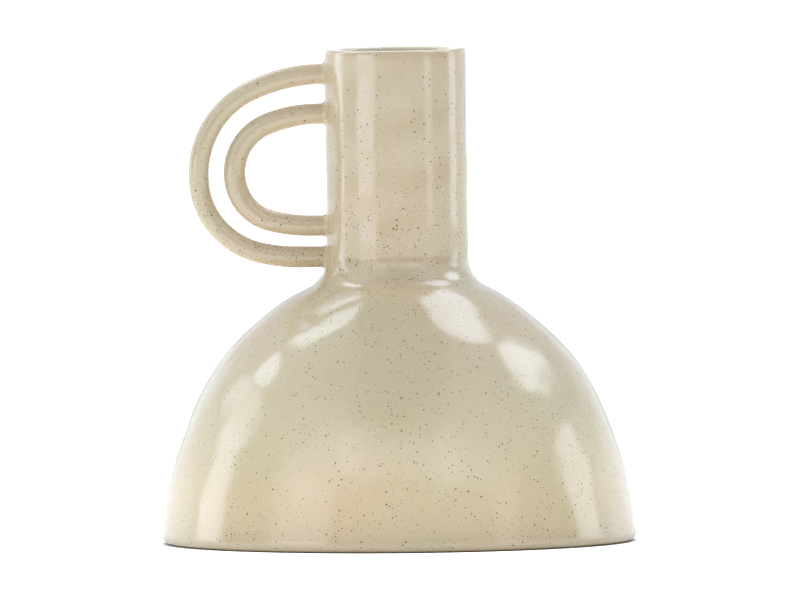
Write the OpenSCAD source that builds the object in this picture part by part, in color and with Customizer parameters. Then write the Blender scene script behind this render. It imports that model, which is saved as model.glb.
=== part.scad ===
// Stoneware vase: a domed body, a straight neck and a side handle of two nested loops.
// Millimetres. The origin is the centre of the flat foot, +Z is up, and the handle is towards -X.

/* [Body] */
// Height from the table to the top of the lip
total_h = 300.5; // [285:0.5:330]
// Greatest diameter of the dome, just above the foot
body_d = 287.8; // [276:0.2:300]
// Thickness of the dome's wall
wall = 7; // [5:0.5:9]
// Thickness of the base slab
slab_t = 8; // [6:0.5:12]

/* [Dome outline] */
// Radius of the rounded heel under the widest point
heel_r = 3.8; // [3:0.1:6]
// Radius of the first curve above the widest point
foot_curve_r = 30; // [20:1:60]
// Lean of the wall, from upright, where the first curve ends
foot_curve_lean = 7; // [4:0.5:8]
// Radius of the long flank above it
flank_r = 302; // [280:1:330]
// Lean of the wall where the flank ends
flank_lean = 20; // [18:0.5:22]
// Radius of the crown
crown_r = 137; // [125:1:150]
// Lean of the wall where the crown ends
crown_lean = 51; // [47:0.5:54]
// Radius of the shoulder, which runs in to the neck
shoulder_r = 165; // [150:1:185]
// Radius of the hollow that blends the shoulder into the neck
blend_r = 21; // [14:0.5:26]

/* [Foot] */
// How far the glazed wall stays above the table
foot_gap = 0.6; // [0.4:0.1:1.2]
// Height of the unglazed foot ring
foot_ring_h = 3; // [2:0.5:4]
// Width of the foot ring
foot_ring_w = 14; // [8:1:20]
// Chamfer on the foot ring's two lower edges
foot_chamfer = 0.5; // [0.2:0.1:0.8]

/* [Neck] */
// Outer diameter of the neck
neck_d = 85.8; // [80:0.2:90]
// Diameter of the bore inside the neck
bore_d = 68; // [60:1:70]
// Radius of the rounded corners of the lip
lip_r = 2.2; // [1.5:0.1:4]

/* [Handle] */
// Diameter of the round bar that both loops are made from
bar_d = 13; // [10:0.2:13.4]
// Radius of the clay worked into each corner where a bar meets the neck
joint_r = 3; // [2:0.1:3]
// Depth of the outer loop's top bar below the lip, on the bar's centreline
outer_drop = 15; // [13:0.5:18]
// Height between the outer loop's top and bottom bars
outer_fall = 112.2; // [109:0.2:113]
// Distance from the neck's axis to the outer loop's farthest point
outer_reach = 120.3; // [120:0.1:126]
// Depth of the inner loop's top bar below the lip
inner_drop = 39.8; // [38:0.2:42]
// Height between the inner loop's top and bottom bars
inner_fall = 68.2; // [64:0.2:69]
// Distance from the neck's axis to the inner loop's farthest point
inner_reach = 98.5; // [98:0.1:101]

/* [Hidden] */

body_r = body_d / 2;
neck_r = neck_d / 2;
bore_r = bore_d / 2;
bar_r = bar_d / 2;

// Largest step, in degrees, between two points of a curved outline
step = 2;
// Sides of a loop's round bar, and the largest angle between its rings of points
bar_sides = 20;
ring_step = 8;
// Sides of the meshed view of a turned shape
turned_sides = 180;

// Each loop's bends from its top bar to its bottom bar, as [relative radius, angle].
// The angles add up to 180, and the second bend holds the farthest point.
outer_bends = [[95, 25], [52, 71], [43, 71], [95, 13]];
inner_bends = [[86, 22], [32, 94], [28, 49], [96, 15]];

function dir(a) = [cos(a), sin(a)];

// Points along an arc about c, from angle a0 up to but not including a1
function arc(c, r, a0, a1) =
    let (n = ceil(abs(a1 - a0) / step))
    [for (i = [0 : n - 1]) c + r * dir(a0 + (a1 - a0) * i / n)];

// Centres of the dome's curves in [radius, height]. Each curve starts where the last one ends,
// in the same direction, so the centres lie on the shared normals.
widest_z = foot_gap + heel_r;
heel_c = [body_r - heel_r, widest_z];
foot_curve_c = [body_r - foot_curve_r, widest_z];
flank_c = foot_curve_c + (foot_curve_r - flank_r) * dir(foot_curve_lean);
crown_c = flank_c + (flank_r - crown_r) * dir(flank_lean);
shoulder_c = crown_c + (crown_r - shoulder_r) * dir(crown_lean);

// Lean of the shoulder where its outer and inner faces reach the neck
outer_end_lean = acos((neck_r - shoulder_c.x) / shoulder_r);
inner_end_lean = acos((neck_r - shoulder_c.x) / (shoulder_r - wall));
neck_bottom_z = shoulder_c.y + (shoulder_r - wall) * sin(inner_end_lean);

// The blend touches the shoulder at this lean, and its centre is level with its upper end
blend_lean = acos((neck_r + blend_r - shoulder_c.x) / (shoulder_r + blend_r));
blend_c = shoulder_c + (shoulder_r + blend_r) * dir(blend_lean);

// The slab fills the dome's foot from wall to wall
slab_top_z = foot_ring_h + slab_t;
floor_lean = asin((slab_top_z - flank_c.y) / (flank_r - wall));
floor_r = flank_c.x + (flank_r - wall) * cos(floor_lean);

// Depth that a joint needs to reach the round neck all the way round its rim
saddle = neck_r - sqrt(pow(neck_r, 2) - pow(bar_r + joint_r, 2)) + 0.5;

// Points where a loop's bends start and end, in [x, z], for a first point p and a scale s
function turned(bends, k) = k == 0 ? 90 : turned(bends, k - 1) + bends[k - 1][1];
function knot(bends, p, s, k) =
    k == 0 ? p : knot(bends, p, s, k - 1)
        + s * bends[k - 1][0] * (dir(turned(bends, k)) - dir(turned(bends, k - 1)));
function bend_centre(bends, p, s, k) =
    knot(bends, p, s, k) - s * bends[k][0] * dir(turned(bends, k));

// Scale that gives a loop its fall, and the x where its top bar starts to bend
function bend_scale(bends, fall) = -fall / knot(bends, [0, 0], 1, len(bends)).y;
function bend_start(bends, s, reach) =
    -reach - (bend_centre(bends, [0, 0], s, 1).x - s * bends[1][0]);

module turned_shape(points) {
    rotate_extrude($fn = turned_sides) polygon(points);
}

// Hollow dome with a round opening for the neck
module dome_body() {
    color([0.86, 0.82, 0.74])
    turned_shape(concat(
        [[floor_r, foot_gap]],
        arc(heel_c, heel_r, -90, 0),
        arc(foot_curve_c, foot_curve_r, 0, foot_curve_lean),
        arc(flank_c, flank_r, foot_curve_lean, flank_lean),
        arc(crown_c, crown_r, flank_lean, crown_lean),
        arc(shoulder_c, shoulder_r, crown_lean, outer_end_lean),
        [shoulder_c + shoulder_r * dir(outer_end_lean)],
        arc(shoulder_c, shoulder_r - wall, inner_end_lean, crown_lean),
        arc(crown_c, crown_r - wall, crown_lean, flank_lean),
        arc(flank_c, flank_r - wall, flank_lean, floor_lean),
        [[floor_r, slab_top_z]]
    ));
}

// Flat floor of the vase
module base_slab() {
    color([0.80, 0.75, 0.66])
    translate([0, 0, foot_ring_h]) cylinder(h = slab_t, r = floor_r, $fn = turned_sides);
}

// Unglazed ring that the vase stands on
module foot_ring() {
    inner_r = floor_r - foot_ring_w;
    color([0.69, 0.60, 0.49])
    turned_shape([
        [inner_r + foot_chamfer, 0],
        [floor_r - foot_chamfer, 0],
        [floor_r, foot_chamfer],
        [floor_r, foot_ring_h],
        [inner_r, foot_ring_h],
        [inner_r, foot_chamfer],
    ]);
}

// Straight neck, set through the dome's opening, with a rounded lip
module neck_tube() {
    lip_z = total_h - lip_r;
    color([0.85, 0.81, 0.73])
    turned_shape(concat(
        [[bore_r, neck_bottom_z], [neck_r, neck_bottom_z]],
        arc([neck_r - lip_r, lip_z], lip_r, 0, 90),
        [[neck_r - lip_r, total_h]],
        arc([bore_r + lip_r, lip_z], lip_r, 90, 180),
        [[bore_r, lip_z]]
    ));
}

// Coil of clay worked into the corner between the shoulder and the neck
module shoulder_coil() {
    color([0.82, 0.78, 0.69])
    turned_shape(concat(
        arc(shoulder_c, shoulder_r, outer_end_lean, blend_lean),
        arc(blend_c, blend_r, 180 + blend_lean, 180),
        [[neck_r, blend_c.y]]
    ));
}

// Solid neck and blend that the bars and their joints are cut back from
module neck_core() {
    touch = shoulder_c + shoulder_r * dir(blend_lean);
    turned_shape(concat(
        [[0, touch.y]],
        arc(blend_c, blend_r, 180 + blend_lean, 180),
        [[neck_r, blend_c.y], [neck_r, total_h], [0, total_h]]
    ));
}

// Loop of round bar: rings of points round every bend, and one inside the neck at each end
module loop(bends, drop, fall, reach) {
    s = bend_scale(bends, fall);
    first = [bend_start(bends, s, reach), total_h - drop];
    last = knot(bends, first, s, len(bends));
    // Each station is [x, z, angle of the bar's outward side]
    stations = concat(
        [[-neck_r / 2, first.y, 90]],
        [for (k = [0 : len(bends) - 1])
            let (a0 = turned(bends, k), n = ceil(bends[k][1] / ring_step))
            let (c = bend_centre(bends, first, s, k))
            for (i = [0 : n - 1])
            let (a = a0 + bends[k][1] * i / n)
            let (p = c + s * bends[k][0] * dir(a))
            [p.x, p.y, a]],
        [[last.x, last.y, 270], [-neck_r / 2, last.y, 270]]
    );
    points = [for (q = stations, j = [0 : bar_sides - 1])
        let (b = 360 * j / bar_sides, out = bar_r * cos(b) * dir(q[2]))
        [q.x + out.x, bar_r * sin(b), q.y + out.y]];
    end = len(points) - bar_sides;
    difference() {
        polyhedron(points, concat(
            [[for (j = [bar_sides - 1 : -1 : 0]) j]],
            [for (i = [0 : bar_sides : end - 1], j = [0 : bar_sides - 1])
                let (next = (j + 1) % bar_sides)
                [i + j, i + next, i + bar_sides + next, i + bar_sides + j]],
            [[for (j = [0 : bar_sides - 1]) end + j]]
        ));
        neck_core();
    }
}

module outer_handle() {
    color([0.87, 0.83, 0.75]) loop(outer_bends, outer_drop, outer_fall, outer_reach);
}

module inner_handle() {
    color([0.84, 0.80, 0.71]) loop(inner_bends, inner_drop, inner_fall, inner_reach);
}

// Ring of clay that blends one end of a bar into the neck, at height z
module bar_joint(z) {
    rim_r = bar_r + joint_r;
    color([0.79, 0.74, 0.65])
    difference() {
        translate([-neck_r, 0, z]) rotate([0, -90, 0]) turned_shape(concat(
            [[bar_r, -saddle], [rim_r, -saddle]],
            arc([rim_r, joint_r], joint_r, 270, 180),
            [[bar_r, joint_r]]
        ));
        neck_core();
    }
}

module outer_handle_top_joint() {
    bar_joint(total_h - outer_drop);
}

module outer_handle_bottom_joint() {
    bar_joint(total_h - outer_drop - outer_fall);
}

module inner_handle_top_joint() {
    bar_joint(total_h - inner_drop);
}

module inner_handle_bottom_joint() {
    bar_joint(total_h - inner_drop - inner_fall);
}

dome_body();
base_slab();
foot_ring();
neck_tube();
shoulder_coil();
outer_handle();
inner_handle();
outer_handle_top_joint();
outer_handle_bottom_joint();
inner_handle_top_joint();
inner_handle_bottom_joint();
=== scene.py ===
import math

import bpy
import numpy as np
from mathutils import Matrix, Quaternion, Vector


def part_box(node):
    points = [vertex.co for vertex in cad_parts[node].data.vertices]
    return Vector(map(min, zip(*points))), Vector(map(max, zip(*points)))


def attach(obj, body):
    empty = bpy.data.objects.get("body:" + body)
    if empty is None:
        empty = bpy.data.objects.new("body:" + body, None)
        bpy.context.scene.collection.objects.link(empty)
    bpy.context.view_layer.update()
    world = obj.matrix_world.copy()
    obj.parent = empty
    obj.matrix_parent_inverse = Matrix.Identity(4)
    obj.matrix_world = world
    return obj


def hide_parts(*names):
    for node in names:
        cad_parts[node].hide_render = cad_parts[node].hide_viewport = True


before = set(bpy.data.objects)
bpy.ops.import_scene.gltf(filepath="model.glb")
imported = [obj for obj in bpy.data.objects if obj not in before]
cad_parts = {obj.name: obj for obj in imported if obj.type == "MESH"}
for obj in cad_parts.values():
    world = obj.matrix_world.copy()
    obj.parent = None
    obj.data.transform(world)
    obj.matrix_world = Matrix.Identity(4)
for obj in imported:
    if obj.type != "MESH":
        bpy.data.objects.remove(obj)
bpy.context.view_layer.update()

# ---------------------------------------------------------------------------
# Sizes, in metres. Overall sizes come from the frame; the curves of the
# outline have the radii and leans (in degrees) that the vase was designed with.
# ---------------------------------------------------------------------------


def half_width(node):
    """Largest distance of a turned node from the vase's axis."""
    lo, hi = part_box(node)
    return max(hi.x - lo.x, hi.y - lo.y) / 2


BODY_R = half_width("dome_body")
NECK_R = half_width("neck_tube")
FLOOR_R = half_width("base_slab")
TOP_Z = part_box("neck_tube")[1].z
NECK_BOTTOM_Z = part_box("neck_tube")[0].z
FOOT_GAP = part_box("dome_body")[0].z
SLAB_Z0, SLAB_Z1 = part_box("base_slab")[0].z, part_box("base_slab")[1].z

WALL = 0.007
NECK_WALL = 0.0089
LIP_R = 0.0022
HEEL_R = 0.0038
FOOT_CURVE_R, FOOT_CURVE_LEAN = 0.030, 7
FLANK_R, FLANK_LEAN = 0.302, 20
CROWN_R, CROWN_LEAN = 0.137, 51
SHOULDER_R = 0.165
BLEND_R = 0.021
FOOT_RING_W = 0.014
BAR_R = 0.0065
JOINT_R = 0.003

# Each loop's bends from its top bar to its bottom bar, as (relative radius, angle)
OUTER_BENDS = ((95, 25), (52, 71), (43, 71), (95, 13))
INNER_BENDS = ((86, 22), (32, 94), (28, 49), (96, 15))

# Each bar's thickness near the neck and at its farthest, over its design thickness
OUTER_SWELLS = (1.025, 0.975)
INNER_SWELLS = (1.015, 1.03)

# How deep in the neck's wall a bar ends
BAR_END_DEPTH = 0.004

# The neck stands a little off the dome's axis, away from the handle, and leans back
# towards it, and its rim is lower on the handle's side and dips at the front
NECK_OFFSET = 0.0006
NECK_LEAN = math.radians(0.25)
RIM_DROP = 0.0007
RIM_DIP = 0.0011

# Heights between which the dome gives way to the neck, how far above the lower one the
# neck's lean has fully set in, and how far below the lip the rim's drop begins
DOME_TO_NECK = (0.150, 0.185)
LEAN_RISE = 0.03
RIM_DEPTH = 0.05

# The shoulder coil sits higher on one side: by how much, in which direction, and the radii
# and heights between which this runs out down the shoulder and up the neck
COIL_LIFT = 0.0027
COIL_TURN = math.radians(-75)
COIL_OUT = (0.054, 0.088)
COIL_UP = (0.172, 0.200)

# Waves of the hand-formed surface, as (height, length, how many, seed)
BROAD_WAVES = (0.00030, 0.080, 20, 31)
MIDDLING_WAVES = (0.00013, 0.042, 20, 91)
FINE_WAVES = (0.00004, 0.018, 24, 116)
NECK_WAVES = (0.00011, 0.036, 20, 144)
INSIDE_WAVES = (0.0002, 0.06, 12, 9)
FOOT_WAVES = (0.00012, 0.02, 12, 21)

# Heights between which the waves set in above the heel, and how far and how deep below
# the lip's top the lip draws in a little
CALM_HEEL = (0.006, 0.05)
LIP_DRAW, LIP_DRAW_DEPTH = 0.0002, 0.006

# Ridges that fingers leave on the inside of thrown clay
RIDGE_H, RIDGE_PITCH = 0.00012, 0.0065

# Points round a turned piece, and the usual distance between its rows, outside and inside
COLUMNS = 480
FINE = 0.0012
COARSE = 0.0016
TURN = np.linspace(0, 2 * math.pi, COLUMNS, endpoint=False)


def direction(a):
    """Unit vector at angle a, in degrees, in the (radius, height) plane."""
    return np.array([math.cos(math.radians(a)), math.sin(math.radians(a))])


# Centres of the outline's curves: each starts where the last one ends, in the same direction
WIDEST_Z = FOOT_GAP + HEEL_R
HEEL_C = np.array([BODY_R - HEEL_R, WIDEST_Z])
FOOT_CURVE_C = np.array([BODY_R - FOOT_CURVE_R, WIDEST_Z])
FLANK_C = FOOT_CURVE_C + (FOOT_CURVE_R - FLANK_R) * direction(FOOT_CURVE_LEAN)
CROWN_C = FLANK_C + (FLANK_R - CROWN_R) * direction(FLANK_LEAN)
SHOULDER_C = CROWN_C + (CROWN_R - SHOULDER_R) * direction(CROWN_LEAN)
BLEND_LEAN = math.degrees(math.acos((NECK_R + BLEND_R - SHOULDER_C[0]) / (SHOULDER_R + BLEND_R)))
BLEND_C = SHOULDER_C + (SHOULDER_R + BLEND_R) * direction(BLEND_LEAN)
BORE_R = NECK_R - NECK_WALL

# ---------------------------------------------------------------------------
# The skin: one hand-formed surface that every piece of the wall takes its
# rows from, so that neighbouring pieces meet without a step or a crease.
# ---------------------------------------------------------------------------


def arc(c, radius, a0, a1, step=FINE):
    """Rows (radius, height, lean of the outward normal) along a convex arc."""
    n = max(2, math.ceil(abs(math.radians(a1 - a0)) * radius / step))
    return [(*(c + radius * direction(a)), a) for a in np.linspace(a0, a1, n + 1)]


def hollow_arc(c, radius, a0, a1, step=FINE):
    """Rows along a concave arc, whose normal points at its centre."""
    n = max(2, math.ceil(abs(math.radians(a1 - a0)) * radius / step))
    return [(*(c - radius * direction(a)), a) for a in np.linspace(a0, a1, n + 1)]


def straight(r0, z0, r1, z1, lean, step=FINE * 2):
    """Rows along a straight line."""
    n = max(1, math.ceil(math.hypot(r1 - r0, z1 - z0) / step))
    return [(r0 + (r1 - r0) * t, z0 + (z1 - z0) * t, lean) for t in np.linspace(0, 1, n + 1)]


def chain(*stretches):
    """Joins stretches of rows, with the point where two meet only once."""
    rows = list(stretches[0])
    for s in stretches[1:]:
        rows += s[1:]
    return rows


def waves(p, height, length, count, seed):
    """Smooth random field of about the given height at points p: plane waves about one length long."""
    rng = np.random.default_rng(seed)
    way = rng.normal(size=(count, 3))
    way /= np.linalg.norm(way, axis=1, keepdims=True)
    k = way * (2 * math.pi / length) * rng.uniform(0.75, 1.3, size=(count, 1))
    phase = rng.uniform(0, 2 * math.pi, size=count)
    return math.sqrt(2 / count) * np.cos(p @ k.T + phase).sum(axis=-1) * height


def smooth_step(x, x0, x1):
    """0 up to x0, 1 from x1 on, smooth between."""
    t = np.clip((x - x0) / (x1 - x0), 0, 1)
    return t * t * (3 - 2 * t)


def unevenness(p):
    """How far the hand-formed surface stands out from the true outline at points p."""
    z = p[..., 2]
    on_neck = smooth_step(z, *DOME_TO_NECK)
    dome = waves(p, *BROAD_WAVES) + waves(p, *MIDDLING_WAVES) + waves(p, *FINE_WAVES)
    neck = waves(p, *NECK_WAVES)
    at_rim = smooth_step(z, TOP_Z - LIP_DRAW_DEPTH, TOP_Z)
    return (dome * (1 - on_neck) + neck * on_neck) * smooth_step(z, *CALM_HEEL) - LIP_DRAW * at_rim


def throwing_ridges(p):
    """Faint spiral ridges and waves on the inside of thrown clay, at points p."""
    turn = np.arctan2(p[..., 1], p[..., 0])
    return RIDGE_H * np.sin(2 * math.pi * p[..., 2] / RIDGE_PITCH + turn) + waves(p, *INSIDE_WAVES)


def coil_lift(p):
    """How much higher the clay round the foot of the neck sits than a turned shape would have it."""
    turned_by = np.arctan2(p[..., 1], p[..., 0]) - COIL_TURN
    outwards = smooth_step(np.hypot(p[..., 0], p[..., 1]), *COIL_OUT)
    upwards = smooth_step(p[..., 2], *COIL_UP)
    return COIL_LIFT * (0.5 + 0.5 * np.cos(turned_by)) ** 2 * (1 - outwards) * (1 - upwards)


def set_up_neck(p):
    """Lifts the coil, sets the neck off the axis, leans it a little and lowers its rim, all smoothly."""
    q = p.copy()
    q[..., 2] += coil_lift(p)
    above = np.maximum(p[..., 2] - DOME_TO_NECK[0], 0)
    ease = smooth_step(above, 0, LEAN_RISE)
    q[..., 0] += (NECK_OFFSET - math.tan(NECK_LEAN) * above) * ease
    at_top = smooth_step(p[..., 2], TOP_Z - RIM_DEPTH, TOP_Z)
    to_handle = 0.5 - 0.5 * p[..., 0] / NECK_R
    to_front = 0.5 - 0.5 * p[..., 1] / NECK_R
    q[..., 2] -= at_top * (RIM_DROP * to_handle + RIM_DIP * to_front ** 2)
    return q


def turned(rows):
    """Points turned about the axis from rows of (radius, height), as (rows, columns, 3)."""
    r, z = rows[:, 0][:, None], rows[:, 1][:, None]
    return np.stack([r * np.cos(TURN), r * np.sin(TURN), np.broadcast_to(z, (len(rows), COLUMNS))], axis=-1)


def skin(rows, inside=False):
    """Points and unit normals of the hand-formed surface turned from rows, as (rows, columns, 3)."""
    rows = np.array(rows)
    lean = np.radians(rows[:, 2])
    base = turned(rows)
    out = turned(np.stack([np.cos(lean), np.sin(lean)], axis=-1))
    offset = throwing_ridges(base) if inside else unevenness(base)
    points = set_up_neck(base + out * offset[..., None])
    along = np.gradient(points, axis=0)
    around = np.roll(points, -1, axis=1) - np.roll(points, 1, axis=1)
    normals = np.cross(around, along)
    normals /= np.linalg.norm(normals, axis=-1, keepdims=True)
    facing = np.sign((normals * out).sum(axis=-1, keepdims=True))
    return points, normals * facing


OUTSIDE = chain(
    arc(HEEL_C, HEEL_R, -90, 0, step=0.0005),
    arc(FOOT_CURVE_C, FOOT_CURVE_R, 0, FOOT_CURVE_LEAN),
    arc(FLANK_C, FLANK_R, FOOT_CURVE_LEAN, FLANK_LEAN),
    arc(CROWN_C, CROWN_R, FLANK_LEAN, CROWN_LEAN),
    arc(SHOULDER_C, SHOULDER_R, CROWN_LEAN, BLEND_LEAN),
)
BLEND = hollow_arc(BLEND_C, BLEND_R, BLEND_LEAN, 0, step=0.0008)
NECK = chain(
    straight(NECK_R, BLEND_C[1], NECK_R, TOP_Z - LIP_R, 0),
    arc(np.array([NECK_R - LIP_R, TOP_Z - LIP_R]), LIP_R, 0, 90, step=0.0004),
    straight(NECK_R - LIP_R, TOP_Z, BORE_R + LIP_R, TOP_Z, 90, step=0.0006),
    arc(np.array([BORE_R + LIP_R, TOP_Z - LIP_R]), LIP_R, 90, 180, step=0.0004),
)
WHOLE = chain(OUTSIDE, BLEND, NECK)
SKIN_POINTS, SKIN_NORMALS = skin(WHOLE)
DOME_END = len(OUTSIDE)
BLEND_END = DOME_END + len(BLEND) - 1

# ---------------------------------------------------------------------------
# Meshes
# ---------------------------------------------------------------------------


def add_mesh(name, points, faces, normals=None):
    """A smooth mesh object from points and faces, with the given vertex normals where they are finite."""
    mesh = bpy.data.meshes.new(name)
    mesh.from_pydata(points.tolist(), [], faces)
    mesh.validate()
    mesh.polygons.foreach_set("use_smooth", [True] * len(mesh.polygons))
    mesh.update()
    if normals is not None:
        own = np.empty(len(points) * 3)
        mesh.vertices.foreach_get("normal", own)
        own = own.reshape(-1, 3)
        given = np.isfinite(normals[:, 0])
        own[given] = normals[given]
        mesh.normals_split_custom_set_from_vertices(own.tolist())
    obj = bpy.data.objects.new(name, mesh)
    bpy.context.scene.collection.objects.link(obj)
    return obj


def signed_volume(points, faces):
    """Volume of a closed mesh, negative if its faces point inwards."""
    f = np.array(faces)
    a, b, c, d = (points[f[:, i]] for i in range(4))
    return float(((a * np.cross(b, c)).sum() + (a * np.cross(c, d)).sum()) / 6)


def ring_faces(rows, columns, closed):
    """Quads between successive rings of points, and back to the first if closed."""
    i = np.arange(rows if closed else rows - 1)[:, None]
    j = np.arange(columns)[None]
    i2, j2 = (i + 1) % rows, (j + 1) % columns
    quads = np.stack([i * columns + j, i * columns + j2, i2 * columns + j2, i2 * columns + j], axis=-1)
    return quads.reshape(-1, 4).tolist()


def turned_piece(name, groups):
    """A closed ring-shaped piece from groups of rows, each (points, normals or None)."""
    points = np.concatenate([g[0] for g in groups])
    normals = np.concatenate([np.full(g[0].shape, np.nan) if g[1] is None else g[1] for g in groups])
    rows, columns = points.shape[:2]
    faces = ring_faces(rows, columns, closed=True)
    flat = points.reshape(-1, 3)
    if signed_volume(flat, faces) < 0:
        faces = [f[::-1] for f in faces]
    return add_mesh(name, flat, faces, normals.reshape(-1, 3))


def hidden(rows):
    """Plain turned rows for surfaces that need no normals of their own, mostly inside the clay."""
    return set_up_neck(turned(np.array(rows))), None


def place(piece, slot, *nodes):
    """Hides the CAD nodes that a piece stands for and hangs the piece on the root body; the slot is not
    used.
    """
    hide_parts(*nodes)
    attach(piece, "root")


def inner_lean_at(z):
    """Lean of the flank's inner face at height z."""
    return math.degrees(math.asin((z - FLANK_C[1]) / (FLANK_R - WALL)))


def sunk(rows, depth=0.0005):
    """Rows set a little into the clay, along their own normals."""
    return [(r - depth * math.cos(math.radians(a)), z - depth * math.sin(math.radians(a)), a)
            for r, z, a in rows]


def dome_body():
    """Hollow dome: the outside up to the blend, on under the blend, and the inside down to the floor."""
    outer_end = math.degrees(math.acos((NECK_R - SHOULDER_C[0]) / SHOULDER_R))
    inner_end = math.degrees(math.acos((NECK_R - SHOULDER_C[0]) / (SHOULDER_R - WALL)))
    under = arc(SHOULDER_C, SHOULDER_R, BLEND_LEAN, outer_end, step=0.004)[1:]
    inside = chain(
        arc(SHOULDER_C, SHOULDER_R - WALL, inner_end, CROWN_LEAN, COARSE),
        arc(CROWN_C, CROWN_R - WALL, CROWN_LEAN, FLANK_LEAN, COARSE),
        arc(FLANK_C, FLANK_R - WALL, FLANK_LEAN, inner_lean_at(SLAB_Z1), COARSE),
    )
    seat = 0.0005  # how far the wall's inside goes down past the floor's top
    return turned_piece("dome_body_glazed", [
        (SKIN_POINTS[:DOME_END], SKIN_NORMALS[:DOME_END]),
        hidden(sunk(under)),
        skin(inside, inside=True),
        hidden([(FLOOR_R, SLAB_Z1 - seat), (FLOOR_R, FOOT_GAP)]),
    ])


def shoulder_coil():
    """The hollow blend between shoulder and neck, closed inside the clay behind it."""
    r0, z0, _ = BLEND[0]
    back_r = NECK_R - 0.002
    return turned_piece("shoulder_coil_glazed", [
        (SKIN_POINTS[DOME_END - 1:BLEND_END], SKIN_NORMALS[DOME_END - 1:BLEND_END]),
        hidden([(back_r, BLEND_C[1]), (back_r, z0), (r0 - 0.001, z0 - 0.003)]),
    ])


def neck_tube():
    """The neck with its rounded lip and its bore, closed at the bottom inside the dome.

    The bore takes on its ridges little by little, over a depth below the lip.
    """
    depth = 0.012
    bore = straight(BORE_R, TOP_Z - LIP_R, BORE_R, NECK_BOTTOM_Z, 180, step=0.0013)
    ridged, normals = skin(bore, inside=True)
    plain, _ = skin(bore)
    ease = smooth_step(np.array([TOP_Z - LIP_R - z for _, z, _ in bore]), 0, depth)[:, None, None]
    points = plain * (1 - ease) + ridged * ease
    inset = 0.001
    return turned_piece("neck_tube_glazed", [
        (SKIN_POINTS[BLEND_END - 1:], SKIN_NORMALS[BLEND_END - 1:]),
        (points[1:], normals[1:]),
        hidden([(BORE_R + inset, NECK_BOTTOM_Z), (NECK_R - inset, NECK_BOTTOM_Z),
                (NECK_R - inset, BLEND_C[1] - 2 * inset)]),
    ])


def base_slab():
    """Flat floor, faintly dished and ringed by the potter's fingers, with a trimmed underside."""
    edge, hub, rings = 0.0006, 0.004, 90
    dish, finger_h, finger_pitch = 0.0004, 0.00025, 0.009
    trim_h, trim_pitch = 0.0002, 0.012
    radii = np.linspace(hub, FLOOR_R - edge, rings)
    over = [(r, SLAB_Z1 - dish + finger_h * math.sin(2 * math.pi * r / finger_pitch)) for r in radii]
    side = [(FLOOR_R, SLAB_Z1 - edge), (FLOOR_R, SLAB_Z0 + edge)]
    under = [(r, SLAB_Z0 + trim_h * (1 - math.cos(2 * math.pi * r / trim_pitch))) for r in radii[::-1]]
    rows = over + side + under
    rim = turned(np.array(rows)).reshape(-1, 3)
    faces = ring_faces(len(rows), COLUMNS, closed=False)
    if signed_volume(rim, faces) < 0:
        faces = [f[::-1] for f in faces]
    points = np.concatenate([rim, [[0, 0, over[0][1]], [0, 0, under[-1][1]]]])
    top_hub, bottom_hub = len(rim), len(rim) + 1
    last = len(rim) - COLUMNS
    for j in range(COLUMNS):
        j2 = (j + 1) % COLUMNS
        faces.append((top_hub, j, j2))
        faces.append((bottom_hub, last + j2, last + j))
    return add_mesh("base_slab_glazed", points, faces)


def foot_ring():
    """Bare clay ring with softened edges, slightly uneven where it was trimmed."""
    r1, r0 = FLOOR_R, FLOOR_R - FOOT_RING_W
    z1 = SLAB_Z0
    soft = 0.0008
    quarter = np.linspace(0, math.pi / 2, 6)
    rows = chain(
        [(r0, z1), (r0, z1 / 2), (r0, soft)],
        [(r0 + soft - soft * math.cos(t), soft - soft * math.sin(t)) for t in quarter],
        [(r, 0.0) for r in np.linspace(r0 + soft, r1 - soft, 12)],
        [(r1 - soft + soft * math.sin(t), soft - soft * math.cos(t)) for t in quarter],
        [(r1, soft), (r1, z1 / 2), (r1, z1)],
    )
    points, _ = hidden(rows)
    wobble = waves(points, *FOOT_WAVES) * smooth_step(points[..., 2], 0, 0.0005)
    points[..., :2] *= 1 + wobble[..., None] / FLOOR_R
    return turned_piece("foot_ring_clay", [(points, None)])


# ---------------------------------------------------------------------------
# Handle: two nested loops of round bar, and the clay worked round their ends
# ---------------------------------------------------------------------------


def loop_path(bends, top_z, fall, reach, step=0.0014):
    """Centreline of a loop in the XZ plane, from inside the neck and back, as (x, z, outward angle)."""
    angles = np.concatenate([[90], 90 + np.cumsum([b[1] for b in bends])])
    jumps = [b[0] * (direction(angles[k + 1]) - direction(angles[k])) for k, b in enumerate(bends)]
    scale = -fall / sum(jumps)[1]
    far = scale * (jumps[0] - bends[1][0] * direction(angles[1]))[0] - scale * bends[1][0]
    here = np.array([-reach - far, top_z])
    inside = BAR_END_DEPTH - NECK_R
    stations = [(x, top_z, 90.0) for x in np.arange(inside, here[0], -step)]
    for k, (relative, angle) in enumerate(bends):
        radius = relative * scale
        centre = here - radius * direction(angles[k])
        n = math.ceil(math.radians(angle) * radius / step)
        stations += [(*(centre + radius * direction(a)), a)
                     for a in np.linspace(angles[k], angles[k + 1], n, endpoint=False)]
        here = centre + radius * direction(angles[k + 1])
    stations += [(x, here[1], 270.0) for x in np.arange(here[0], inside, step)]
    return np.array(stations)


def loop_sizes(node):
    """Height of a loop's top bar, its fall and its reach, from its node's box."""
    lo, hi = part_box(node)
    return hi.z - BAR_R, hi.z - lo.z - 2 * BAR_R, -lo.x - BAR_R


def bar_radius(at, swell, seed):
    """Hand-rolled bar: its radius swells and thins a little along its length."""
    return BAR_R * (swell + waves(at, 0.012, 0.05, 10, seed))


def neck_shift(p):
    """How far the neck's lean and rim tilt carry a point that stands off the neck."""
    near = p.copy()
    near[..., 0] = np.maximum(p[..., 0], -NECK_R)
    return set_up_neck(near) - near


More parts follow.
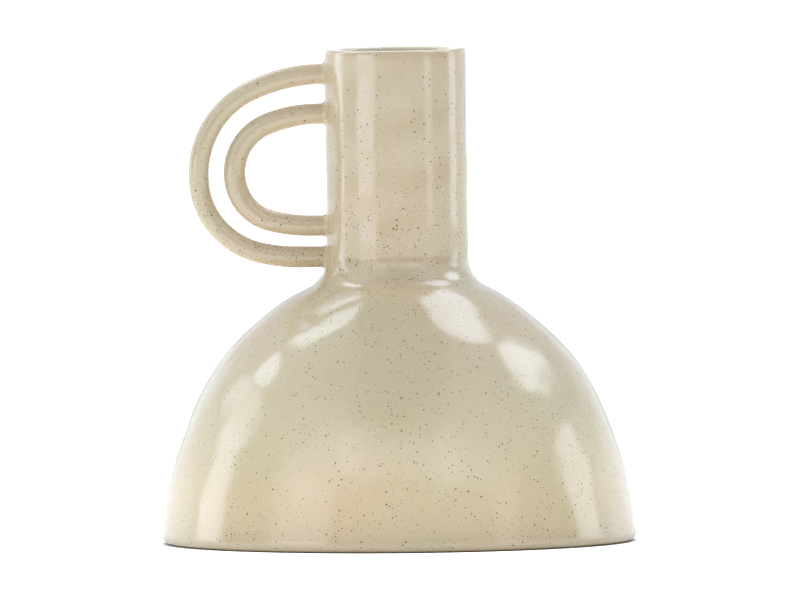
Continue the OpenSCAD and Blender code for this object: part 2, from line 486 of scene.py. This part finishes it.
def handle(name, node, bends, swells, seed, sides=40):
    """A swept loop of round bar whose ends run on into the neck's wall.

    Near the neck the bar is straight and true to size, so that its joints fit it.
    """
    path = loop_path(bends, *loop_sizes(node))
    around = np.linspace(0, 2 * math.pi, sides, endpoint=False)
    centre = np.stack([path[:, 0], np.zeros(len(path)), path[:, 1]], axis=-1)
    out_of_wall = -path[:, 0] - NECK_R
    free = smooth_step(out_of_wall, 0.004, 0.02)
    centre[:, 1] += free * waves(centre, 0.0004, 0.09, 10, seed + 1)
    swell = swells[0] + (swells[1] - swells[0]) * smooth_step(out_of_wall, 0.01, out_of_wall.max())
    radius = BAR_R + free * (bar_radius(centre, swell, seed) - BAR_R)
    a = np.radians(path[:, 2])
    outward = np.stack([np.cos(a), np.zeros(len(a)), np.sin(a)], axis=-1)
    side = np.array([0.0, 1.0, 0.0])
    points = centre[:, None] + radius[:, None, None] * (
        np.cos(around)[None, :, None] * outward[:, None] + np.sin(around)[None, :, None] * side)
    points = points + neck_shift(points)
    flat = points.reshape(-1, 3)
    faces = ring_faces(len(path), sides, closed=False)
    if signed_volume(flat, faces) < 0:
        faces = [f[::-1] for f in faces]
        ends = [tuple(range(sides)), tuple(range(len(flat) - 1, len(flat) - sides - 1, -1))]
    else:
        ends = [tuple(range(sides - 1, -1, -1)), tuple(range(len(flat) - sides, len(flat)))]
    return add_mesh(name, flat, faces + ends)


def wall_point(y, z):
    """Point of the hand-formed neck on the handle's side, at the given y and height."""
    drop = np.clip(BLEND_C[1] - z, 0, BLEND_R * math.sin(math.radians(BLEND_LEAN)))
    radius = BLEND_C[0] - np.sqrt(BLEND_R ** 2 - drop ** 2)
    lean = np.arcsin(drop / BLEND_R)
    base = np.stack([-np.sqrt(radius ** 2 - y ** 2), y, z], axis=-1)
    out = np.stack([base[..., 0] / radius * np.cos(lean), y / radius * np.cos(lean), np.sin(lean)], axis=-1)
    return set_up_neck(base + out * unevenness(base)[..., None])


def bar_joint(name, bar_z, turns=64, steps=14):
    """Clay worked round a bar's end: a fillet that leaves the bar and lands on the neck, both smoothly."""
    turn = np.linspace(0, 2 * math.pi, turns, endpoint=False)
    axis = np.array([0.0, 0.0, bar_z])
    spoke = np.stack([np.zeros(turns), np.sin(turn), np.cos(turn)], axis=-1)

    def on_wall(distance):
        at = axis + spoke * distance
        return wall_point(at[:, 1], at[:, 2])

    # The fillet's edges on the neck and on the bar, and its direction at each
    nudge = 0.0002
    land = on_wall(BAR_R + JOINT_R)
    beyond = on_wall(BAR_R + JOINT_R + nudge)
    slide = (beyond - land) / nudge
    leave = axis + spoke * BAR_R
    leave[:, 0] = on_wall(BAR_R)[:, 0] - JOINT_R
    leave = leave + neck_shift(leave)
    before = leave - np.array([nudge, 0, 0])

    # A cubic curve between them, for each turn round the bar
    pull = 0.55 * JOINT_R
    first = leave + np.array([pull, 0, 0])
    second = land - slide * pull
    t = np.linspace(0, 1, steps)[:, None, None]
    rows = ((1 - t) ** 3 * leave + 3 * (1 - t) ** 2 * t * first
            + 3 * (1 - t) * t ** 2 * second + t ** 3 * land)

    guard = np.concatenate([[before], rows, [beyond]])
    along = guard[2:] - guard[:-2]
    around = np.roll(rows, -1, axis=1) - np.roll(rows, 1, axis=1)
    normals = np.cross(around, along)
    normals /= np.linalg.norm(normals, axis=-1, keepdims=True)
    from_end = rows[0] - np.array([BAR_END_DEPTH - NECK_R, 0, bar_z])
    normals *= np.sign((normals[0] * from_end).sum())

    # The back lies inside the neck's wall and inside the bar
    deep = land + np.array([0.0015, 0, 0])
    core = axis + spoke * (BAR_R * 0.8)
    core_back = core.copy()
    core_back[:, 0] = 0.003 - NECK_R
    core[:, 0] = leave[:, 0] + 0.0004
    back = np.stack([deep, core_back, core])
    return turned_piece(name, [(rows, normals), (back, None)])


# ---------------------------------------------------------------------------
# Materials
# ---------------------------------------------------------------------------


# Strength at which the surroundings and the floor look pure white to the camera
WHITE = 1.2


class Nodes:
    """Small helper that adds nodes to a material or world and links them by socket name."""

    def __init__(self, holder, shader="Principled BSDF"):
        holder.use_nodes = True
        self.holder = holder
        self.tree = holder.node_tree
        self.shader = self.tree.nodes[shader]

    def add(self, kind, settings=None, **inputs):
        """A new node; underscores in the names of its inputs stand for spaces."""
        node = self.tree.nodes.new("ShaderNode" + kind)
        for key, value in (settings or {}).items():
            setattr(node, key, value)
        for key, value in inputs.items():
            self.put(node.inputs[key.replace("_", " ")], value)
        return node

    def put(self, socket, value):
        """Links another node's output to the socket, or sets the socket's own value."""
        if isinstance(value, bpy.types.NodeSocket):
            self.tree.links.new(value, socket)
        else:
            socket.default_value = value

    def maths(self, operation, a, b=0.0, c=0.0):
        """The result of a Math node; c is only for operations that take three values."""
        node = self.tree.nodes.new("ShaderNodeMath")
        node.operation = operation
        for socket, value in zip(node.inputs, (a, b, c)):
            self.put(socket, value)
        return node.outputs[0]

    def times(self, a, b):
        """a times b."""
        return self.maths("MULTIPLY", a, b)

    def step(self, value, low, high, at_low=0.0, at_high=1.0):
        """at_low below low, at_high above high, smooth between."""
        node = self.add("MapRange", {"interpolation_type": "SMOOTHSTEP"}, Value=value, From_Min=low,
                        From_Max=high, To_Min=at_low, To_Max=at_high)
        return node.outputs["Result"]

    def mix(self, factor, a, b, kind="RGBA"):
        """a where the factor is 0 and b where it is 1, as colours or as plain numbers."""
        node = self.tree.nodes.new("ShaderNodeMix")
        node.data_type = kind
        self.put(node.inputs["Factor"], factor)
        self.put(node.inputs["A"], a)
        self.put(node.inputs["B"], b)
        return node.outputs["Result"]


def srgb(r, g, b):
    """Linear colour from 0-255 sRGB values."""
    def linear(c):
        c /= 255
        return c / 12.92 if c <= 0.04045 else ((c + 0.055) / 1.055) ** 2.4
    return (linear(r), linear(g), linear(b), 1.0)


def specks(n, where, cell, radius, share, soft=0.00003):
    """Mask of round specks of many sizes, in a share of the cells of a 3-D grid of random points.

    The smallest have 0.55 of the given radius and the largest 1.5, and small ones are commoner.
    """
    cells = n.add("TexVoronoi", {"feature": "F1"}, Vector=where, Scale=1 / cell, Randomness=1.0)
    pick = n.add("SeparateColor", Color=cells.outputs["Color"])
    size = n.maths("MULTIPLY_ADD", n.maths("POWER", pick.outputs["Red"], 2.0), 0.95, 0.55)
    gap = n.maths("SUBTRACT", cells.outputs["Distance"], n.times(size, radius / cell))
    dot = n.step(gap, soft / cell, -soft / cell)
    return n.times(dot, n.maths("LESS_THAN", pick.outputs["Green"], share))


def glaze():
    """Glossy cream stoneware glaze, faintly clouded, with painted light that makes the mouth paler below
    the lip, and with iron specks.
    """
    cream, grey_cream, warm_cream = srgb(207, 184, 150), srgb(202, 185, 150), srgb(205, 183, 146)
    green_cream, mouth_painted_light = srgb(196, 182, 147), srgb(236, 220, 192)
    dark_iron, faint_iron = srgb(50, 36, 24), srgb(112, 90, 64)
    n = Nodes(bpy.data.materials.new("speckled_glaze"))
    place_in = n.add("TexCoord").outputs["Object"]
    z = n.add("SeparateXYZ", Vector=place_in).outputs["Z"]

    # Clouds of cream, a ragged greener band round the dome, and painted light that makes the inside of the
    # mouth paler below the lip
    cloud = n.add("TexNoise", Vector=place_in, Scale=14.0, Detail=3.0, Roughness=0.5).outputs["Fac"]
    fine = n.add("TexNoise", Vector=place_in, Scale=120.0, Detail=2.0, Roughness=0.6).outputs["Fac"]
    tone = n.mix(n.step(cloud, 0.35, 0.65), cream, grey_cream)
    ragged_z = n.maths("ADD", z, n.times(cloud, 0.03))
    band = n.times(n.step(ragged_z, 0.045, 0.090), n.step(ragged_z, 0.150, 0.105))
    tone = n.mix(n.times(band, 0.7), tone, green_cream)
    tone = n.mix(n.times(n.step(fine, 0.4, 0.7), 0.25), tone, warm_cream)
    across = n.add("VectorMath", {"operation": "MULTIPLY"}, Vector=place_in)
    across.inputs[1].default_value = (1, 1, 0)
    from_axis = n.add("VectorMath", {"operation": "LENGTH"}, Vector=across.outputs["Vector"])
    in_mouth = n.step(from_axis.outputs["Value"], NECK_R - 0.0015, NECK_R - 0.0045)
    near_lip = n.step(z, TOP_Z - 0.050, TOP_Z - 0.010)
    # Painted light: the inner half of the lip's top and the bore below it are made paler, fading out
    # further down
    tone = n.mix(n.times(in_mouth, near_lip), tone, mouth_painted_light)

    # Specks gather in places, crowd towards the foot of the neck and thin out towards the lip
    gather = n.add("TexNoise", Vector=place_in, Scale=26.0, Detail=2.0, Roughness=0.55).outputs["Fac"]
    crowd = n.add("MapRange", Value=gather, From_Min=0.3, From_Max=0.7, To_Min=0.55, To_Max=1.45)
    from_blend = n.maths("ABSOLUTE", n.maths("SUBTRACT", z, BLEND_C[1]))
    by_blend = n.step(from_blend, 0.060, 0.0)
    by_lip = n.step(z, TOP_Z - 0.040, TOP_Z - 0.010)
    level = n.maths("ADD", n.maths("SUBTRACT", 1.0, n.times(by_lip, 0.65)), by_blend)
    level = n.times(level, crowd.outputs["Result"])
    dark = specks(n, place_in, cell=0.0019, radius=0.00035, share=n.times(level, 0.38))
    faint = specks(n, place_in, cell=0.0013, radius=0.00022, share=n.times(level, 0.48))
    colour = n.mix(n.times(faint, 0.8), tone, faint_iron)
    colour = n.mix(n.times(dark, 0.97), colour, dark_iron)

    peel = n.add("TexNoise", Vector=place_in, Scale=420.0, Detail=2.0, Roughness=0.5)
    bump = n.add("Bump", Height=peel.outputs["Fac"], Strength=0.12, Distance=0.00012)
    s = n.shader.inputs
    n.put(s["Base Color"], colour)
    n.put(s["Roughness"], n.maths("MULTIPLY_ADD", n.step(fine, 0.3, 0.8), 0.04, 0.145))
    n.put(s["Normal"], bump.outputs["Normal"])
    s["IOR"].default_value = 1.75
    return n.holder


def bare_clay():
    """Matte fired clay of the foot, with grog, pores and a few iron specks."""
    clay, pale_clay = srgb(186, 163, 131), srgb(202, 181, 150)
    grog, iron = srgb(160, 138, 108), srgb(92, 74, 54)
    n = Nodes(bpy.data.materials.new("bare_clay"))
    place_in = n.add("TexCoord").outputs["Object"]
    grain = n.add("TexNoise", Vector=place_in, Scale=900.0, Detail=6.0, Roughness=0.7).outputs["Fac"]
    cloud = n.add("TexNoise", Vector=place_in, Scale=40.0, Detail=4.0, Roughness=0.6).outputs["Fac"]
    tone = n.mix(n.step(cloud, 0.3, 0.7), clay, pale_clay)
    tone = n.mix(n.times(n.step(grain, 0.5, 0.75), 0.4), tone, grog)
    dots = specks(n, place_in, cell=0.0032, radius=0.0004, share=0.5, soft=0.00012)
    bump = n.add("Bump", Height=grain, Strength=0.6, Distance=0.00025)
    s = n.shader.inputs
    n.put(s["Base Color"], n.mix(n.times(dots, 0.8), tone, iron))
    n.put(s["Roughness"], n.maths("MULTIPLY_ADD", cloud, 0.12, 0.78))
    n.put(s["Normal"], bump.outputs["Normal"])
    return n.holder


def floor_white():
    """Pale seamless studio floor.

    It lights the vase from a ring round the foot, is dim in the vase's gloss, and glows white to the camera
    except in a thin ring right at the foot, where its glow fades out so that a dark contact shadow shows
    there.
    """
    n = Nodes(bpy.data.materials.new("studio_floor"))
    place_in = n.add("TexCoord").outputs["Object"]
    cloud = n.add("TexNoise", Vector=place_in, Scale=0.6, Detail=2.0)
    tone = n.mix(cloud.outputs["Fac"], (0.92, 0.92, 0.92, 1), (0.94, 0.94, 0.94, 1))
    away = n.add("VectorMath", {"operation": "LENGTH"}, Vector=place_in).outputs["Value"]
    rays = n.add("LightPath").outputs
    dim, ring = 0.05, 1.25
    bounce = n.maths("ADD", n.step(away, BODY_R, 0.2, dim, ring), n.step(away, 0.24, 0.6, 0.0, -ring))
    glow = n.mix(rays["Is Diffuse Ray"], n.step(away, BODY_R, 0.35, dim, 0.25), bounce, "FLOAT")
    # For the camera the glow fades out in a thin ring at the foot, leaving a dark contact shadow there
    seen = n.step(away, BODY_R - 0.001, BODY_R + 0.004, 0.0, WHITE)
    glow = n.mix(rays["Is Camera Ray"], glow, seen, "FLOAT")
    s = n.shader.inputs
    n.put(s["Base Color"], tone)
    s["Roughness"].default_value = 1.0
    s["Specular IOR Level"].default_value = 0.0
    s["Emission Color"].default_value = (1, 1, 1, 1)
    n.put(s["Emission Strength"], glow)
    return n.holder


# ---------------------------------------------------------------------------
# Pieces
# ---------------------------------------------------------------------------

GLAZE, CLAY = glaze(), bare_clay()
outer_top, outer_fall, _ = loop_sizes("outer_handle")
inner_top, inner_fall, _ = loop_sizes("inner_handle")

PIECES = [
    (dome_body(), "speckled_glaze", "dome_body"),
    (shoulder_coil(), "speckled_glaze", "shoulder_coil"),
    (neck_tube(), "speckled_glaze", "neck_tube"),
    (base_slab(), "speckled_glaze", "base_slab"),
    (foot_ring(), "bare_clay", "foot_ring"),
    (handle("outer_handle_glazed", "outer_handle", OUTER_BENDS, OUTER_SWELLS, seed=31),
     "speckled_glaze", "outer_handle"),
    (handle("inner_handle_glazed", "inner_handle", INNER_BENDS, INNER_SWELLS, seed=41),
     "speckled_glaze", "inner_handle"),
    (bar_joint("outer_top_joint_glazed", outer_top), "speckled_glaze", "outer_handle_top_joint"),
    (bar_joint("outer_bottom_joint_glazed", outer_top - outer_fall),
     "speckled_glaze", "outer_handle_bottom_joint"),
    (bar_joint("inner_top_joint_glazed", inner_top), "speckled_glaze", "inner_handle_top_joint"),
    (bar_joint("inner_bottom_joint_glazed", inner_top - inner_fall),
     "speckled_glaze", "inner_handle_bottom_joint"),
]
for piece, slot, node in PIECES:
    piece.data.materials.append(CLAY if slot == "bare_clay" else GLAZE)
    place(piece, slot, node)

# ---------------------------------------------------------------------------
# Studio: floor, lights, camera
# ---------------------------------------------------------------------------

# Where the lights aim, how far from there they stand, and their colour
MIDDLE = Vector((0.0, 0.0, 0.15))
LIGHT_DISTANCE = 5.0
COOL = (0.89, 1.0, 1.13)


def floor(half=60.0):
    """A square of floor, half its width each way from the vase, at the height of its foot."""
    corners = np.array([[-half, -half, 0.0], [half, -half, 0.0], [half, half, 0.0], [-half, half, 0.0]])
    plane = add_mesh("studio_floor", corners, [(0, 1, 2, 3)])
    plane.data.materials.append(floor_white())


def softbox(name, azimuth, elevation, wide, high, glow, tilt=0, shape="RECTANGLE", gloss_only=False):
    """A softbox aimed at the vase, with its place and size in degrees as the vase sees them.

    Azimuth is from the camera's side, positive to the right. Tilt turns it about its own
    axis, and glow is its brightness. One that is gloss_only shows in the gloss and adds
    nothing to the soft light.
    """
    a, e = math.radians(azimuth), math.radians(elevation)
    way = Vector((math.sin(a) * math.cos(e), -math.cos(a) * math.cos(e), math.sin(e)))
    data = bpy.data.lights.new(name, "AREA")
    data.shape = shape
    data.size = 2 * LIGHT_DISTANCE * math.tan(math.radians(wide / 2))
    data.size_y = 2 * LIGHT_DISTANCE * math.tan(math.radians(high / 2))
    area = data.size * data.size_y * (math.pi / 4 if shape == "ELLIPSE" else 1)
    data.energy = glow * math.pi * area
    data.color = COOL
    light = bpy.data.objects.new(name, data)
    light.location = MIDDLE + way * LIGHT_DISTANCE
    light.rotation_mode = "QUATERNION"
    light.rotation_quaternion = way.to_track_quat("Z", "Y") @ Quaternion((0, 0, 1), -math.radians(tilt))
    light.visible_camera = False
    light.visible_diffuse = not gloss_only
    bpy.context.scene.collection.objects.link(light)


def world_light():
    """White surroundings, whose brightness differs for soft light, for the gloss and for the camera.

    For soft light they are brightest overhead. For the gloss there are darker walls round
    the camera and a bright backdrop behind the vase, which is dimmer close to the line of
    sight except in a narrow upright strip.
    """
    world = bpy.data.worlds.new("studio")
    bpy.context.scene.world = world
    n = Nodes(world, "Background")
    way = n.add("SeparateXYZ", Vector=n.add("TexCoord").outputs["Generated"])
    x, y, z = (way.outputs[axis] for axis in "XYZ")
    sideways = n.maths("ABSOLUTE", x)
    sides = n.step(sideways, 0.2, 0.5, 0.1, 0.75)
    walls = n.maths("ADD", n.times(sides, n.step(z, 0.25, 0.5)), 0.12)
    backdrop = n.step(z, 0.1, 0.45, 1.4, 0.85)
    backdrop = n.times(backdrop, n.step(y, 0.94, 0.99, 1.0, 0.55))
    backdrop = n.times(backdrop, n.step(sideways, 0.03, 0.1, 1.5, 1.0))
    gloss = n.mix(n.step(y, 0.3, 0.65), walls, backdrop, "FLOAT")
    rays = n.add("LightPath").outputs
    strength = n.mix(rays["Is Diffuse Ray"], gloss, n.step(z, 0.3, 1.0, 0.05, 1.55), "FLOAT")
    strength = n.mix(rays["Is Camera Ray"], strength, WHITE, "FLOAT")
    n.shader.inputs["Color"].default_value = (0.93, 1.0, 1.1, 1.0)
    n.put(n.shader.inputs["Strength"], strength)


def camera():
    """Long lens at the viewing angle: a little above the table, level with the front, slightly rolled."""
    lens, sensor = 1000.0, 36.0
    field = 0.4856
    elevation, roll = math.radians(2.2), math.radians(0.5)
    target = Vector((0.0016, 0.0, 0.1469))
    distance = field * lens / sensor
    back = Vector((0, -math.cos(elevation), math.sin(elevation)))
    data = bpy.data.cameras.new("camera")
    data.lens, data.sensor_width = lens, sensor
    data.clip_start, data.clip_end = 0.1, 200.0
    cam = bpy.data.objects.new("camera", data)
    turn = (-back).to_track_quat("-Z", "Y").to_matrix().to_4x4()
    cam.matrix_world = (Matrix.Translation(target + back * distance) @ turn
                        @ Matrix.Rotation(-roll, 4, "Z"))
    bpy.context.scene.collection.objects.link(cam)
    bpy.context.scene.camera = cam


camera()
floor()
world_light()
softbox("left_side", -106.5, 14, 19, 14, 2.4)
softbox("left_side_low", -106.5, 0.5, 19, 13, 2.6)
softbox("left_wide", -111, 26, 32, 11, 1.35)
softbox("left_link", -117, 39, 14, 11, 2.7, shape="ELLIPSE")
softbox("left_top", -137, 56, 22, 20, 2.8, shape="ELLIPSE")
softbox("leg_left", -50.5, 13, 31, 15, 0.8)
softbox("leg_left_low", -50.5, -1, 31, 12, 2.2)
softbox("bend_left", -45, 25, 28, 14, 0.55, tilt=-27)
softbox("arch_left", -17, 29.5, 27, 16, 0.85)
softbox("arch_right", 17, 29.5, 28, 17, 0.8)
softbox("bend_right", 45, 23, 32, 14, 0.35, tilt=28)
softbox("leg_right", 54, 11, 12, 14, 0.4)
softbox("leg_right_low", 54, -2, 12, 12, 1.5)
softbox("right_side", 106, 8, 17, 28, 2.1, gloss_only=True)
softbox("right_wide", 107, 17, 32, 8, 0.35)
softbox("right_top", 116, 40.5, 27, 18, 2.9, shape="ELLIPSE", gloss_only=True)
softbox("back_right_top", 142, 60, 27, 19, 2.7, tilt=18, shape="ELLIPSE")

scene = bpy.context.scene
scene.view_settings.view_transform = "Standard"
